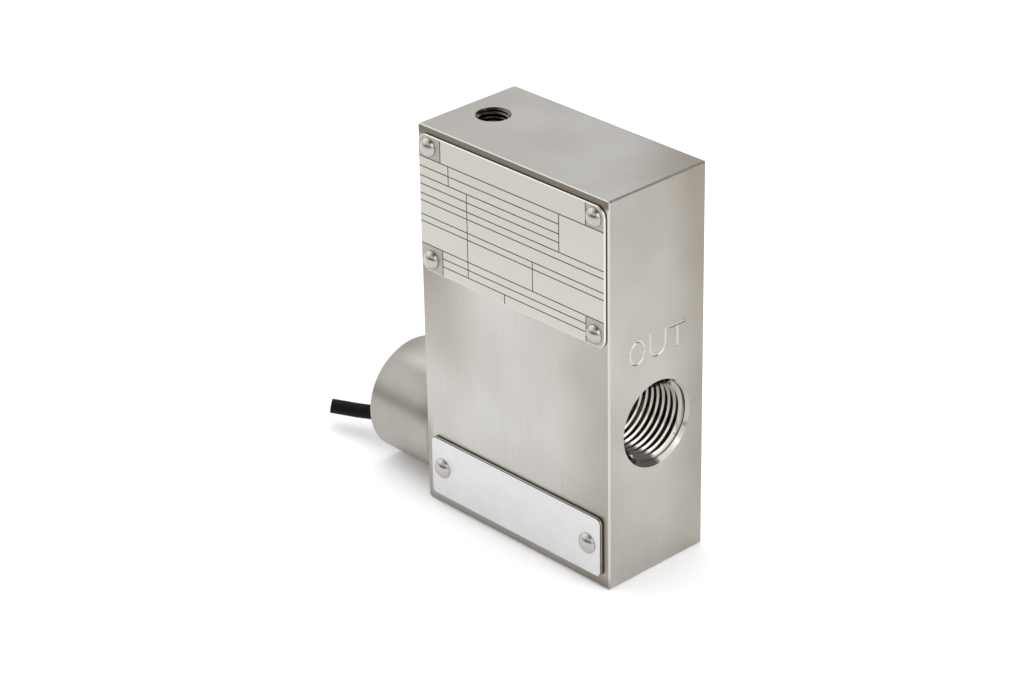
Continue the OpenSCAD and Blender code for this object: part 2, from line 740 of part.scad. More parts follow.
body_block();
conduit_hub();
hub_weld();
potting();
cable();
lead_wires();
rating_plate();
lower_plate();
rating_plate_screws();
lower_plate_screws();
seat_ring();
seat_o_ring();
seat_snap_ring();
piston();
glide_rings();
piston_magnet();
magnet_cap();
return_spring();
reed_carrier();
reed_glass();
reed_blades();
adjusting_screw();
swivel_clip();
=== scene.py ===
"""Flow switch in a square stainless steel block, dressed for its portrait.

The camera and the cable come first, then the studio, the materials, and the pieces from the
block inwards. The values below are in millimetres, and mm turns them into the frame's metres.
"""

import math

import bpy
from mathutils import Matrix, Vector


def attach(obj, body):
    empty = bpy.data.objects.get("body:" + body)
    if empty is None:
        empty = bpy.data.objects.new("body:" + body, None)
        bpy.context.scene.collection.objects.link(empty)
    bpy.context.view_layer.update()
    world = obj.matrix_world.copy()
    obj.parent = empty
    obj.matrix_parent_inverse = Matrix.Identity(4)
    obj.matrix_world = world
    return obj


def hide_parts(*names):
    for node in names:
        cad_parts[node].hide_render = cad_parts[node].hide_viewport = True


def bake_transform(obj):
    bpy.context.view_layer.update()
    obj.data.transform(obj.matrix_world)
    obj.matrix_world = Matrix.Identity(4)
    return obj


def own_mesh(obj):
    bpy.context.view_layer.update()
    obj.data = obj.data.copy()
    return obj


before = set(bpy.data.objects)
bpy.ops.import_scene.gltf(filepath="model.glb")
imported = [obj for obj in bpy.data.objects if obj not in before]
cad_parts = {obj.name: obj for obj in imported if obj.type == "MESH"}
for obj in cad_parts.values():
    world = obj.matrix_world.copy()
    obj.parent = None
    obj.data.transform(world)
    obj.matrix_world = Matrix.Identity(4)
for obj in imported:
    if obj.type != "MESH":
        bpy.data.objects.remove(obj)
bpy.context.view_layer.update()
scene = bpy.context.scene
mm = 0.001

# How near two points count as one, when points are merged or a piece is cut by a plane
close = 0.0001 * mm

# Block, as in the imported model
end_x, outlet_x = -28.0, 35.5
front_y = -15.875
block_h = 101.6
outlet_z = 39.2
channel_x = -18.7

# Pipe threads: 14 per inch, cut outwards from the bore across their crests
pipe_crest_r = 9.15
pipe_pitch = 25.4 / 14
port_thread_l = 15.2
pipe_thread_depth = 1.36
port_mouth_r = 11.1

# The switch channel's thread: 24 per inch
channel_crest_r = 3.45
channel_pitch = 25.4 / 24
channel_mouth_r = 4.35
channel_thread_l = 13.5

# Conduit hub
hub_z = 15.2
hub_mouth_x = -50.9
hub_thread_l = 12.5
hub_mouth_r = 10.55

# Plates on the front face: left edge, width, lower edge, height, thickness, corner radius
rating_plate = (-27.3, 62.1, 64.1, 35.8, 0.6, 2.8)
lower_plate = (-25.35, 58.8, 3.0, 15.8, 1.0, 1.5)
rating_screws = [(x, z) for x in (-23.8, 31.3) for z in (67.25, 96.75)]
lower_screws = [(x, 10.9) for x in (-21.55, 29.05)]
rating_head_r, lower_head_r = 2.4, 2.65
screw_head_h, screw_rim_h = 1.5, 0.25
screw_shank_r, screw_shank_l = 1.25, 6.0

# Cable, along the same points as its solid, and its two cores
cable_d = 3.8
core_r, conductor_r, core_apart = 0.62, 0.36, 0.78
cable_route = [
    (-38.4, -0.4, 10.6), (-41.0, -0.4, 10.6), (-43.5, -0.6, 10.3), (-46.0, -1.0, 9.8),
    (-48.5, -1.6, 9.1), (-51.0, -2.2, 8.4), (-53.5, -2.9, 7.8), (-56.0, -3.6, 7.4),
    (-58.5, -4.3, 7.1), (-61.0, -5.0, 6.8), (-63.5, -5.8, 6.5), (-66.0, -6.6, 6.2),
    (-68.5, -7.4, 6.0), (-71.0, -8.2, 5.8), (-72.7, -8.75, 5.65), (-74.0, -9.2, 5.55),
]


# ---------------------------------------------------------------- small helpers


def use(piece):
    """Makes a piece the only selected one, and the active one."""
    for other in bpy.context.selected_objects:
        other.select_set(False)
    piece.select_set(True)
    bpy.context.view_layer.objects.active = piece


def new_piece(name):
    """The object that an operator has just added, renamed."""
    piece = bpy.context.active_object
    piece.name = piece.data.name = name
    return piece


def place(piece, matrix):
    """Moves a piece and puts its place into its mesh."""
    bpy.context.view_layer.update()
    piece.matrix_world = matrix @ piece.matrix_world
    use(piece)
    bpy.ops.object.transform_apply(location=True, rotation=True, scale=True)


def edit(piece, step, wanted=None, kind="vertices"):
    """Runs one step on a piece in edit mode, on everything or on what the test accepts.

    kind is what the test looks at: vertices, edges or polygons.
    """
    mesh = piece.data
    for group in (mesh.polygons, mesh.edges, mesh.vertices):
        for item in group:
            item.select = wanted is None
    if wanted:
        for item in getattr(mesh, kind):
            item.select = bool(wanted(item))
    kinds = ("vertices", "edges", "polygons")
    scene.tool_settings.mesh_select_mode = [name == kind for name in kinds]
    use(piece)
    bpy.ops.object.mode_set(mode="EDIT")
    step()
    bpy.ops.object.mode_set(mode="OBJECT")


def edge_ends(mesh, edge):
    return [mesh.vertices[i].co for i in edge.vertices]


def join(name, pieces):
    """Joins pieces into the first one."""
    use(pieces[0])
    for piece in pieces[1:]:
        piece.select_set(True)
    bpy.ops.object.join()
    return new_piece(name)


def cut(piece, cutter):
    """Takes a cutter's shape out of a piece, and removes the cutter."""
    tool = piece.modifiers.new("cut", "BOOLEAN")
    tool.operation = "DIFFERENCE"
    tool.solver = "EXACT"
    tool.material_mode = "TRANSFER"
    tool.object = cutter
    use(piece)
    bpy.ops.object.modifier_apply(modifier=tool.name)
    bpy.data.objects.remove(cutter)


def sweep_round(piece, pitch, turns, steps):
    """Sweeps a piece round Z, up by the pitch in millimetres at each turn."""
    sweep = piece.modifiers.new("sweep", "SCREW")
    sweep.axis = "Z"
    sweep.screw_offset = pitch * mm
    sweep.iterations = turns
    sweep.steps = sweep.render_steps = steps
    sweep.use_merge_vertices = False
    use(piece)
    bpy.ops.object.modifier_apply(modifier=sweep.name)


def smooth(piece, degrees=30):
    use(piece)
    bpy.ops.object.shade_smooth_by_angle(angle=math.radians(degrees))


def outwards(piece):
    def step():
        bpy.ops.mesh.remove_doubles(threshold=0.001 * mm)
        bpy.ops.mesh.normals_make_consistent(inside=False)

    edit(piece, step)


def tube(name, points, radius, roundness, kind):
    """A capped round tube along points in metres: smooth if BEZIER, straight parts if POLY."""
    line = bpy.data.curves.new(name, "CURVE")
    line.dimensions = "3D"
    line.bevel_depth = radius * mm
    line.bevel_resolution = roundness
    line.use_fill_caps = True
    line.resolution_u = 6
    spline = line.splines.new(kind)
    knots = spline.points if kind == "POLY" else spline.bezier_points
    knots.add(len(points) - 1)
    for knot, point in zip(knots, points):
        if kind == "POLY":
            knot.co = (*point, 1)
        else:
            knot.co = point
            knot.handle_left_type = knot.handle_right_type = "AUTO"
    piece = bpy.data.objects.new(name, line)
    scene.collection.objects.link(piece)
    use(piece)
    bpy.ops.object.convert(target="MESH")
    outwards(piece)
    return piece


def copy_of_node(node, name):
    """A merged copy of a CAD node, free to be cut and shaded."""
    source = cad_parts[node]
    piece = bpy.data.objects.new(name, source.data.copy())
    scene.collection.objects.link(piece)
    piece.data.name = name
    use(piece)
    if piece.data.has_custom_normals:
        bpy.ops.mesh.customdata_custom_splitnormals_clear()
    edit(piece, lambda: bpy.ops.mesh.remove_doubles(threshold=0.001 * mm))
    return piece


def dress(piece, body, nodes, slot, *materials):
    """Gives a finished piece its materials and its body, and hides the CAD nodes that it stands
    for.
    """
    if materials:
        while len(piece.data.materials) < len(materials):
            piece.data.materials.append(None)
        for index, material in enumerate(materials):
            piece.data.materials[index] = material
    if body:
        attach(piece, body)
    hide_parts(*nodes)
    return piece


# ---------------------------------------------------------------- camera

camera_at = Vector((492.72, -475.42, 404.12)) * mm
camera_azimuth, camera_elevation, camera_roll = 46.80664, 27.48042, -1.02814
camera_lens = 112.755


def add_camera():
    azimuth, elevation, roll = (
        math.radians(a) for a in (camera_azimuth, camera_elevation, camera_roll))
    back = Vector((math.sin(azimuth) * math.cos(elevation),
                   -math.cos(azimuth) * math.cos(elevation), math.sin(elevation)))
    level = Vector((math.cos(azimuth), math.sin(azimuth), 0))
    upright = back.cross(level)
    right = level * math.cos(roll) + upright * math.sin(roll)
    up = upright * math.cos(roll) - level * math.sin(roll)
    turn = Matrix((right, up, back)).transposed().to_4x4()
    bpy.ops.object.camera_add()
    camera = bpy.context.active_object
    camera.name = "portrait_camera"
    camera.data.lens = camera_lens
    camera.matrix_world = Matrix.Translation(camera_at) @ turn
    scene.camera = camera


add_camera()


# ---------------------------------------------------------------- materials


# Settings that many nodes share
plus = {"operation": "ADD"}
minus = {"operation": "SUBTRACT"}
times = {"operation": "MULTIPLY"}
greatest = {"operation": "MAXIMUM"}
greater = {"operation": "GREATER_THAN"}
less = {"operation": "LESS_THAN"}
unsigned = {"operation": "ABSOLUTE"}
smoothly = {"interpolation_type": "SMOOTHSTEP"}
mixed = {"data_type": "RGBA"}
darkened = {"data_type": "RGBA", "blend_type": "MULTIPLY"}
# Most of a noise lies between these values
noisy = {"From_Min": 0.3, "From_Max": 0.7}


def linear(hex_colour):
    """An sRGB hex colour as the linear RGBA that a shader takes."""
    values = [int(hex_colour[i:i + 2], 16) / 255 for i in (1, 3, 5)]
    return [v / 12.92 if v <= 0.04045 else ((v + 0.055) / 1.055) ** 2.4 for v in values] + [1]


def add_node(tree, kind, output, settings=None, **links):
    """A node with its settings and links, of which the named or numbered output comes back.

    Each link, value or hex colour goes to the input of its name, or of its number after an
    underscore.
    """
    made = tree.nodes.new("ShaderNode" + kind)
    for key, value in (settings or {}).items():
        setattr(made, key, value)
    for key, value in links.items():
        socket = made.inputs[int(key[1:]) if key[1:].isdigit() else key.replace("_", " ")]
        if isinstance(value, bpy.types.NodeSocket):
            tree.links.new(value, socket)
        else:
            socket.default_value = linear(value) if isinstance(value, str) else value
    return made.outputs[output]


def new_material(name, colour, metallic=0.0, roughness=0.5, **more):
    """A material with its tree, its shader and the place of each point, for patterns."""
    made = bpy.data.materials.new(name)
    made.use_nodes = True
    shader = made.node_tree.nodes["Principled BSDF"]
    shader.inputs["Base Color"].default_value = linear(colour)
    shader.inputs["Metallic"].default_value = metallic
    shader.inputs["Roughness"].default_value = roughness
    for key, value in more.items():
        shader.inputs[key.replace("_", " ")].default_value = value
    return made, made.node_tree, shader, add_node(made.node_tree, "TexCoord", "Object")


def drive(tree, shader, **links):
    """Links patterns to the inputs of a shader."""
    for key, value in links.items():
        tree.links.new(value, shader.inputs[key.replace("_", " ")])


def ground_steel():
    """Stainless bar ground on a belt: satin, with faint fine lines and soft clouds of tone.

    Real grinding lines are near 0.05 mm wide. They are drawn at 0.25 mm so that they show.
    They run along the height on the walls, and along the length on the top and the bottom.
    """
    made, tree, shader, at = new_material("stainless_steel_belt_ground", "#bab6b0", 1.0, 0.3)
    place_in = add_node(tree, "SeparateXYZ", "Z", Vector=at).node.outputs
    facing = add_node(tree, "SeparateXYZ", "Z", Vector=add_node(
        tree, "NewGeometry", "True Normal")).node.outputs
    lean = {k: add_node(tree, "Math", "Value", unsigned, _0=facing[k]) for k in "XYZ"}
    fine, long = 1 / (0.25 * mm), 1 / (11 * mm)
    walls = add_node(tree, "Mapping", "Vector", Vector=at, Scale=(fine, fine, long))
    ends = add_node(tree, "Mapping", "Vector", Vector=at, Scale=(long, fine, fine))
    is_end = add_node(tree, "Math", "Value", greater, _0=lean["Z"], _1=0.7)
    grain = add_node(tree, "Mix", 1, {"data_type": "VECTOR"}, _0=is_end, _4=walls, _5=ends)
    lines = add_node(tree, "TexNoise", "Fac", Vector=grain, Scale=1, Detail=3)
    clouds = add_node(tree, "TexNoise", "Fac", Vector=at, Scale=42, Detail=1.5)
    tone = add_node(tree, "MapRange", "Result", Value=clouds, From_Min=0.35, From_Max=0.65)
    lined = add_node(tree, "Mix", 2, mixed, _0=lines, _6="#b7b5b1", _7="#c6c4c0")
    clouded = add_node(tree, "Mix", 2, darkened, _0=tone, _6=lined, _7="#f0eeec")

    # Painted shade: the front is painted darker towards its right edge and high at its left one,
    # the outlet's face upwards, to the back and round the port, and the top to its far corner.
    # Each row is a fade over a range in millimetres, from its least to its most
    far_corner = add_node(tree, "Math", "Value", plus, _0=place_in["X"], _1=place_in["Y"])
    part = {}
    for name, value, low, high, least, most in (
            ("right_edge", place_in["X"], 15, 33, 0, 1),
            ("left_edge", place_in["X"], -6, -27, 0, 1.3),
            ("half_way_up", place_in["Z"], 30, 62, 0, 1),
            ("below_word", place_in["Z"], 60, 40, 0, 0.5),
            ("above_foot", place_in["Z"], 6, 26, 0, 1),
            ("to_back", place_in["Y"], 0, 16, 0, 1),
            ("to_top", place_in["Z"], 30, 110, 0, 1),
            ("to_corner", far_corner, 24, 52, 0.22, 1.75),
            ("plate_margin", place_in["Z"], 99.0, 99.9, 0, 1),
            ("left_margin", place_in["X"], -25, -27, 0, 0.5),
            ("low_down", place_in["Z"], 28, 16, 0, 1),
            ("foot", place_in["Z"], 4.0, 0.8, 0, 0.6)):
        part[name] = add_node(tree, "MapRange", "Result", smoothly, Value=value,
                              From_Min=low * mm, From_Max=high * mm, To_Min=least, To_Max=most)
    # Each row makes one more part from two others, or from a socket and a number
    for name, how, one, other in (
            ("on_front", less, facing["Y"], -0.7),
            ("on_side", greater, facing["X"], 0.7),
            ("on_top", greater, facing["Z"], 0.7),
            ("high_left", times, "left_edge", "half_way_up"),
            ("front_edges", greatest, "right_edge", "high_left"),
            ("front_painted_shade", times, "on_front", "front_edges"),
            ("at_port", times, "below_word", "above_foot"),
            ("back_and_top", plus, "to_back", "to_top"),
            ("side_tones", plus, "at_port", "back_and_top"),
            ("side_painted_shade", times, "on_side", "side_tones"),
            ("top_painted_shade", times, "on_top", "to_corner"),
            ("walls_painted_shade", plus, "front_painted_shade", "side_painted_shade"),
            ("all_painted_shade", plus, "walls_painted_shade", "top_painted_shade"),
            # Painted highlight: these rows find the broken edges' sloping faces, which are
            # painted brighter
            ("level_lean", plus, lean["X"], lean["Y"]),
            ("all_lean", plus, "level_lean", lean["Z"]),
            ("sloping", greater, "all_lean", 1.3),
            ("not_under", greater, facing["Z"], -0.1),
            ("edge_highlight", times, "sloping", "not_under"),
            ("in_front", less, place_in["Y"], (front_y + 0.2) * mm),
            ("margin", times, "plate_margin", "in_front"),
            ("low_left", times, "left_margin", "low_down"),
            ("foot_tones", greatest, "foot", "low_left"),
            ("foot_painted_shade", times, "on_front", "foot_tones"),
            ("margin_and_foot_shade", greatest, "margin", "foot_painted_shade")):
        part[name] = add_node(tree, "Math", "Value", how, _0=part.get(one, one),
                              _1=part.get(other, other))
    # The painted shade, added up, darkens the ground colour
    dark = add_node(tree, "Math", "Value", {"operation": "DIVIDE", "use_clamp": True},
                    _0=part["all_painted_shade"], _1=1.7)
    shaded_colour = add_node(tree, "Mix", 2, darkened, _0=dark, _6=clouded, _7="#c9c3b9")
    # Painted highlight: the broken edges are painted bright. Painted shade: the margin above the
    # rating plate and the foot are painted darker and browner
    edge_highlit = add_node(tree, "Mix", 2, mixed, _0=part["edge_highlight"], _6=shaded_colour, _7="#c8c5bf")
    colour = add_node(tree, "Mix", 2, mixed, _0=part["margin_and_foot_shade"], _6=edge_highlit, _7="#726a61")
    satin = add_node(tree, "MapRange", "Result", Value=lines, To_Min=0.27, To_Max=0.35, **noisy)
    relief = add_node(tree, "Bump", "Normal", Height=lines, Distance=0.006 * mm, Strength=0.4)
    drive(tree, shader, Base_Color=colour, Roughness=satin, Normal=relief)
    return made


def cut_steel(name, point, axis, crest_r, depth, mouth_shade_l=0.0, lower_lit_root="#3b3733"):
    """Stainless cut by a tap: bright, smooth crests, and flanks that darken to the roots.

    point is the mouth's centre and axis points into the bore. Painted shade darkens the roots,
    and the whole thread over the shaded length from the mouth. Painted light pales the lower
    half of a level bore: its crests, and its roots to the colour of the last argument.
    """
    made, tree, shader, at = new_material(name, "#b8b4ad", 1.0, 0.1)
    marks = add_node(tree, "TexNoise", "Fac", Vector=at, Scale=500, Detail=2)
    gloss = add_node(tree, "MapRange", "Result", Value=marks, To_Min=0.07, To_Max=0.14, **noisy)
    from_point = add_node(tree, "VectorMath", "Vector", minus, _0=at, _1=Vector(point) * mm)
    across = add_node(tree, "VectorMath", "Vector", {"operation": "CROSS_PRODUCT"},
                      _0=from_point, _1=axis)
    off_axis = add_node(tree, "VectorMath", "Value", {"operation": "LENGTH"}, _0=across)
    # Painted shade, deepening from crest to root
    root = add_node(tree, "MapRange", "Result", smoothly,
                    Value=off_axis, From_Min=(crest_r + 0.4 * depth) * mm,
                    From_Max=(crest_r + 0.8 * depth) * mm)
    inwards = add_node(tree, "VectorMath", "Value", {"operation": "DOT_PRODUCT"},
                       _0=from_point, _1=axis)
    # Painted shade over the first part of the thread from the mouth
    mouth_shade = add_node(tree, "MapRange", "Result", smoothly,
                     Value=inwards, From_Min=mouth_shade_l * mm, From_Max=0.6 * mouth_shade_l * mm,
                     To_Max=0.8 if mouth_shade_l else 0.0)
    dark = add_node(tree, "Math", "Value", greatest, _0=root, _1=mouth_shade)
    height = add_node(tree, "SeparateXYZ", "Z", Vector=from_point)
    # Painted light: paler crests and roots in the lower half of a level bore, darker crests
    # above
    low = add_node(tree, "MapRange", "Result", smoothly,
                   Value=height, From_Min=3 * mm, From_Max=-6 * mm)
    crests = add_node(tree, "Mix", 2, mixed, _0=low, _6="#96928b", _7="#bcb8b1")
    roots = add_node(tree, "Mix", 2, mixed, _0=low, _6="#3b3733", _7=lower_lit_root)
    colour = add_node(tree, "Mix", 2, mixed, _0=dark, _6=crests, _7=roots)
    drive(tree, shader, Base_Color=colour, Roughness=gloss)
    return made


def scuffed_steel(name, colour, roughness, scale, detail, low, high):
    """Stainless smoothed by a punch or by polishing: no grain, and a lightly scuffed shine."""
    made, tree, shader, at = new_material(name, colour, 1.0, roughness)
    scuffs = add_node(tree, "TexNoise", "Fac", Vector=at, Scale=scale, Detail=detail)
    gloss = add_node(tree, "MapRange", "Result", Value=scuffs, To_Min=low, To_Max=high, **noisy)
    drive(tree, shader, Roughness=gloss)
    return made


def turned_steel(name, axis, colour, roughness, tones=()):
    """Stainless turned on a lathe: faint rings round the turning axis.

    Real tool marks are near 0.1 mm apart. They are drawn at 0.25 mm so that they show. Each
    tone is a colour and the fades along X, Y or Z, in millimetres, that bring it in.
    """
    made, tree, shader, at = new_material(name, colour, 1.0, roughness[0])
    scale = [1 / (0.25 * mm) if i == axis else 1 / (30 * mm) for i in range(3)]
    rings = add_node(tree, "TexNoise", "Fac", Scale=1, Detail=2, Vector=add_node(
        tree, "Mapping", "Vector", Vector=at, Scale=scale))
    clouds = add_node(tree, "TexNoise", "Fac", Vector=at, Scale=60, Detail=2)
    tone = add_node(tree, "MapRange", "Result", Value=clouds, From_Min=0.35, From_Max=0.65)
    clouded = add_node(tree, "Mix", 2, darkened, _0=tone, _6=colour, _7="#eeecea")
    for shade, fades in tones:
        place_in = add_node(tree, "SeparateXYZ", "Z", Vector=at).node.outputs
        share = 1.0
        for along, low, high in fades:
            faded = add_node(tree, "MapRange", "Result", smoothly, Value=place_in[along],
                             From_Min=low * mm, From_Max=high * mm)
            share = add_node(tree, "Math", "Value", times, _0=share, _1=faded)
        clouded = add_node(tree, "Mix", 2, mixed, _0=share, _6=clouded, _7=shade)
    satin = add_node(tree, "MapRange", "Result", Value=rings,
                     To_Min=roughness[0], To_Max=roughness[1], **noisy)
    relief = add_node(tree, "Bump", "Normal", Height=rings, Distance=0.003 * mm, Strength=0.3)
    # The rings spread the shine along the turning axis
    shader.inputs["Anisotropic"].default_value = 0.7
    shader.inputs["Anisotropic Rotation"].default_value = 0.25
    round_axis = add_node(tree, "Tangent", "Tangent",
                          {"direction_type": "RADIAL", "axis": "XYZ"[axis]})
    drive(tree, shader, Base_Color=clouded, Roughness=satin, Normal=relief,
          Tangent=round_axis)
    return made


def weld_steel():
    """Weld bead brushed after welding: lighter than the block, with low ripples 0.9 mm apart."""
    made, tree, shader, at = new_material("stainless_steel_weld_bead", "#c4c0b9", 1.0, 0.34)
    centred = add_node(tree, "Mapping", "Vector", Vector=at, Location=(0, 0, -hub_z * mm))
    place_in = add_node(tree, "SeparateXYZ", "Z", Vector=centred).node.outputs
    angle = add_node(tree, "Math", "Value", {"operation": "ARCTAN2"},
                     _0=place_in["Y"], _1=place_in["Z"])
    ripples_round = 105.0
    steps = add_node(tree, "Math", "Value", times, _0=angle, _1=ripples_round)
    ripple = add_node(tree, "Math", "Value", {"operation": "SINE"}, _0=steps)
    rough = add_node(tree, "TexNoise", "Fac", Vector=at, Scale=1500, Detail=2)
    height = add_node(tree, "Math", "Value", plus, _0=ripple, _1=rough)
    relief = add_node(tree, "Bump", "Normal", Height=height, Distance=0.04 * mm, Strength=0.5)
    drive(tree, shader, Normal=relief)
    return made


def plate_lines(tree, at, horizontals, verticals, width):
    """1 on the ruled lines of a plate, 0 between them. at is X and Z in metres."""

    def line(across, centre, along, low, high):
        """1 where across is near the centre and along lies between low and high."""
        away = add_node(tree, "Math", "Value", minus, _0=across, _1=centre * mm)
        off = add_node(tree, "Math", "Value", unsigned, _0=away)
        middle = add_node(tree, "Math", "Value", minus, _0=along, _1=(low + high) / 2 * mm)
        far = add_node(tree, "Math", "Value", unsigned, _0=middle)
        near = add_node(tree, "Math", "Value", less, _0=off, _1=width / 2 * mm)
        within = add_node(tree, "Math", "Value", less, _0=far, _1=(high - low + width) / 2 * mm)
        return add_node(tree, "Math", "Value", times, _0=near, _1=within)

    lines = [line(at["Z"], z, at["X"], low, high) for z, low, high in horizontals]
    lines += [line(at["X"], x, at["Z"], low, high) for x, low, high in verticals]
    total = 0.0
    for one in lines:
        total = add_node(tree, "Math", "Value", greatest, _0=one, _1=total)
    return total


# Ruled form of the rating plate: distances from its top edge and from its left edge
form_rows = [
    (6.0, 0.3, 61.8), (8.6, 0.3, 47.35), (11.1, 0.3, 47.35), (13.3, 0.3, 47.35),
    (15.7, 0.3, 61.8), (17.6, 0.3, 61.8), (21.2, 0.3, 61.8), (23.0, 0.3, 61.8),
    (28.8, 0.3, 61.8), (30.9, 7.55, 56.0), (33.0, 7.55, 56.0),
]
form_columns = [
    (7.6, 0.3, 6.0), (56.0, 0.3, 6.0), (7.6, 28.8, 35.5), (56.0, 28.8, 35.5),
    (10.25, 6.0, 11.1), (16.45, 11.1, 33.0), (47.35, 6.0, 15.7), (38.45, 21.2, 28.8),
    (28.9, 33.0, 35.5),
]
form_line_w = 0.28
left_box_x, right_box_x, high_box_h, low_box_h = 7.6, 56.0, 6.0, 7.0


def printed_steel():
    """Thin stainless plate, printed: a pale satin lacquer with black ruled lines.

    The four corners round the drive screws are left bare and look darker.
    """
    made, tree, shader, at = new_material("stainless_steel_plate_printed", "#cfccc4", 1.0, 0.36)
    left, width, low, height = rating_plate[:4]
    place_in = add_node(tree, "SeparateXYZ", "Z", Vector=at).node.outputs
    rows = [(low + height - z, left + a, left + b) for z, a, b in form_rows]
    columns = [(left + x, low + height - b, low + height - a) for x, a, b in form_columns]
    ink = plate_lines(tree, place_in, rows, columns, form_line_w)
    at_left = add_node(tree, "Math", "Value", less,
                       _0=place_in["X"], _1=(left + left_box_x) * mm)
    at_right = add_node(tree, "Math", "Value", greater,
                        _0=place_in["X"], _1=(left + right_box_x) * mm)
    at_top = add_node(tree, "Math", "Value", greater,
                      _0=place_in["Z"], _1=(low + height - high_box_h) * mm)
    at_foot = add_node(tree, "Math", "Value", less, _0=place_in["Z"], _1=(low + low_box_h) * mm)
    at_side = add_node(tree, "Math", "Value", greatest, _0=at_left, _1=at_right)
    at_end = add_node(tree, "Math", "Value", greatest, _0=at_top, _1=at_foot)
    bare = add_node(tree, "Math", "Value", times, _0=at_side, _1=at_end)
    brushed = add_node(tree, "Mapping", "Vector", Vector=at,
                       Scale=(1 / (9 * mm), 200, 1 / (0.25 * mm)))
    satin = add_node(tree, "TexNoise", "Fac", Vector=brushed, Scale=1, Detail=3)
    white = add_node(tree, "Mix", 2, mixed, _0=satin, _6="#bcbab2", _7="#c6c4bc")
    boxed = add_node(tree, "Mix", 2, mixed, _0=bare, _6=white, _7="#a7a29a")
    colour = add_node(tree, "Mix", 2, mixed, _0=ink, _6=boxed, _7="#1c1b1a")
    metal = add_node(tree, "MapRange", "Result", Value=ink, To_Min=1.0, To_Max=0.1)
    gloss = add_node(tree, "MapRange", "Result", Value=satin, To_Min=0.32, To_Max=0.42, **noisy)
    drive(tree, shader, Base_Color=colour, Metallic=metal, Roughness=gloss)
    return made


def lacquered_aluminium():
    """Aluminium plate with a clear matt lacquer: silvery white, faintly mottled."""
    made, tree, shader, at = new_material("aluminium_plate_lacquered", "#d9d9da", 0.85, 0.42)
    mottle = add_node(tree, "TexNoise", "Fac", Vector=at, Scale=220, Detail=4)
    colour = add_node(tree, "Mix", 2, mixed, _0=mottle, _6="#d0d0d1", _7="#dddddd")
    relief = add_node(tree, "Bump", "Normal", Height=mottle, Distance=0.006 * mm, Strength=0.3)
    drive(tree, shader, Base_Color=colour, Normal=relief)
    return made


def pvc_jacket():
    """Extruded PVC cable jacket: black, half matt, with faint drag lines."""
    made, tree, shader, at = new_material("pvc_jacket_extruded", "#080809", 0.0, 0.5,
                                          Specular_IOR_Level=0.1)
    along = add_node(tree, "Mapping", "Vector", Vector=at, Scale=(80, 2500, 2500))
    drag = add_node(tree, "TexNoise", "Fac", Vector=along, Scale=1, Detail=2)
    gloss = add_node(tree, "MapRange", "Result", Value=drag, To_Min=0.42, To_Max=0.58, **noisy)
    relief = add_node(tree, "Bump", "Normal", Height=drag, Distance=0.02 * mm, Strength=0.4)
    drive(tree, shader, Roughness=gloss, Normal=relief)
    return made


def plain(name, colour, metallic, roughness, grain, depth, **more):
    """A finish with one fine random grain, whose size and depth are in millimetres."""
    made, tree, shader, at = new_material(name, colour, metallic, roughness, **more)
    specks = add_node(tree, "TexNoise", "Fac", Vector=at, Scale=1 / (grain * mm), Detail=2)
    gloss = add_node(tree, "MapRange", "Result", Value=specks,
                     To_Min=roughness * 0.8, To_Max=roughness * 1.2, **noisy)
    relief = add_node(tree, "Bump", "Normal", Height=specks, Distance=depth * mm, Strength=0.5)
    drive(tree, shader, Roughness=gloss, Normal=relief)
    return made


finish_ground = ground_steel()
# Painted light: the roots' colour in the lower half of a level bore
lit_lower_root = "#8f8980"
finish_outlet = cut_steel("stainless_steel_tapped_outlet", (outlet_x, 0, outlet_z),
                          (-1, 0, 0), pipe_crest_r, pipe_thread_depth, lower_lit_root=lit_lower_root)
finish_inlet = cut_steel("stainless_steel_tapped_inlet", (0, 0, 0), (0, 0, 1),
                         pipe_crest_r, pipe_thread_depth)
finish_mouth = cut_steel("stainless_steel_tapped_hub", (hub_mouth_x, 0, hub_z), (1, 0, 0),
                         pipe_crest_r, pipe_thread_depth, lower_lit_root=lit_lower_root)
finish_channel = cut_steel("stainless_steel_tapped_channel", (channel_x, 0, block_h),
                           (0, 0, -1), channel_crest_r, depth=1.2, mouth_shade_l=3.6)
# Cut by a countersink: a bright mirror, hardly grained
finish_bevel = plain("stainless_steel_bevel_cut", "#adaaa4", 1.0, 0.12, 0.5, 0.002)
# Bored and left so: bright, and softer than the bevels
finish_bored = plain("stainless_steel_bored", "#b9b5af", 1.0, 0.22, 0.3, 0.003)
# Burnished by a letter punch: brighter and smoother than the ground face
finish_struck = scuffed_steel("stainless_steel_punch_struck", "#c2beb8", 0.2,
                              scale=900, detail=2, low=0.14, high=0.24)
# Painted reflection of the block darkens the hub towards it, and a painted highlight pales its
# top
finish_hub = turned_steel(
    "stainless_steel_turned_hub", 0, "#ada9a3", (0.36, 0.42),
    (("#8c8881", (("X", -36, -29), ("Z", hub_z + 2, hub_z + 7))),
     ("#c8c4be", (("X", -50, -42), ("Z", hub_z + 12.4, hub_z + 14.6)))))
finish_turned = turned_steel("stainless_steel_turned", 2, "#c4c1bb", (0.16, 0.3))
finish_weld = weld_steel()
finish_printed = printed_steel()
finish_lacquer = lacquered_aluminium()
# Polished drive screws: a soft mirror
finish_polished = scuffed_steel("stainless_steel_polished", "#b4b1ac", 0.18,
                                scale=700, detail=1, low=0.15, high=0.2)
finish_jacket = pvc_jacket()
# Rolled over round the rating plate's face: a pale bright line
finish_rolled = plain("stainless_steel_edge_rolled", "#dcd9d3", 1.0, 0.22, 0.3, 0.004)
# Sheared behind it: dark and torn
finish_sheared = plain("stainless_steel_edge_sheared", "#6f665c", 1.0, 0.4, 0.15, 0.01)
